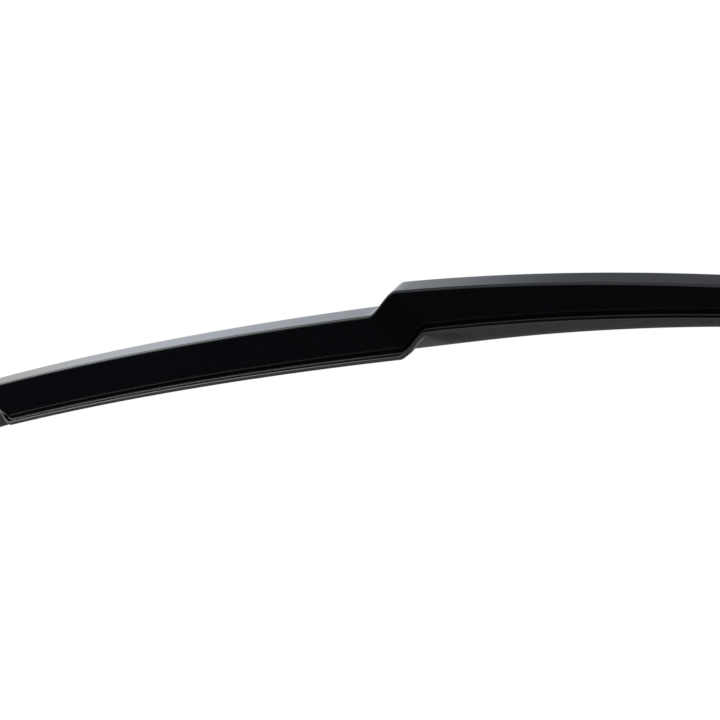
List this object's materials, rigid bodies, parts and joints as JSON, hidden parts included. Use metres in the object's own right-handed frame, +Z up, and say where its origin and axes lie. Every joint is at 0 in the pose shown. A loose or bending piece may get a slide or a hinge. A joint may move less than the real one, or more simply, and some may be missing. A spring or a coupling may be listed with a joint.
{
  "type": "spoiler extension",
  "caption": "One-piece gloss black shell that caps the rear edge of a car roof spoiler, with a lower centre, raised wings, a bevelled crest and an undercut trailing edge.",
  "frame": {"origin": "on the heel line, where the underside meets the foot, in the middle of the span", "axes": "+X to the car's right along the span, +Y forward, +Z up, as the extension sits on the car"},
  "size_m": [1.12, 0.1556, 0.0743],
  "materials": {
    "gloss_black_abs": "gloss outside, matte inside and on the trimmed edges"
  },
  "bodies": {
    "root": {"spoiler_extension": "gloss_black_abs"}
  },
  "joints": []
}
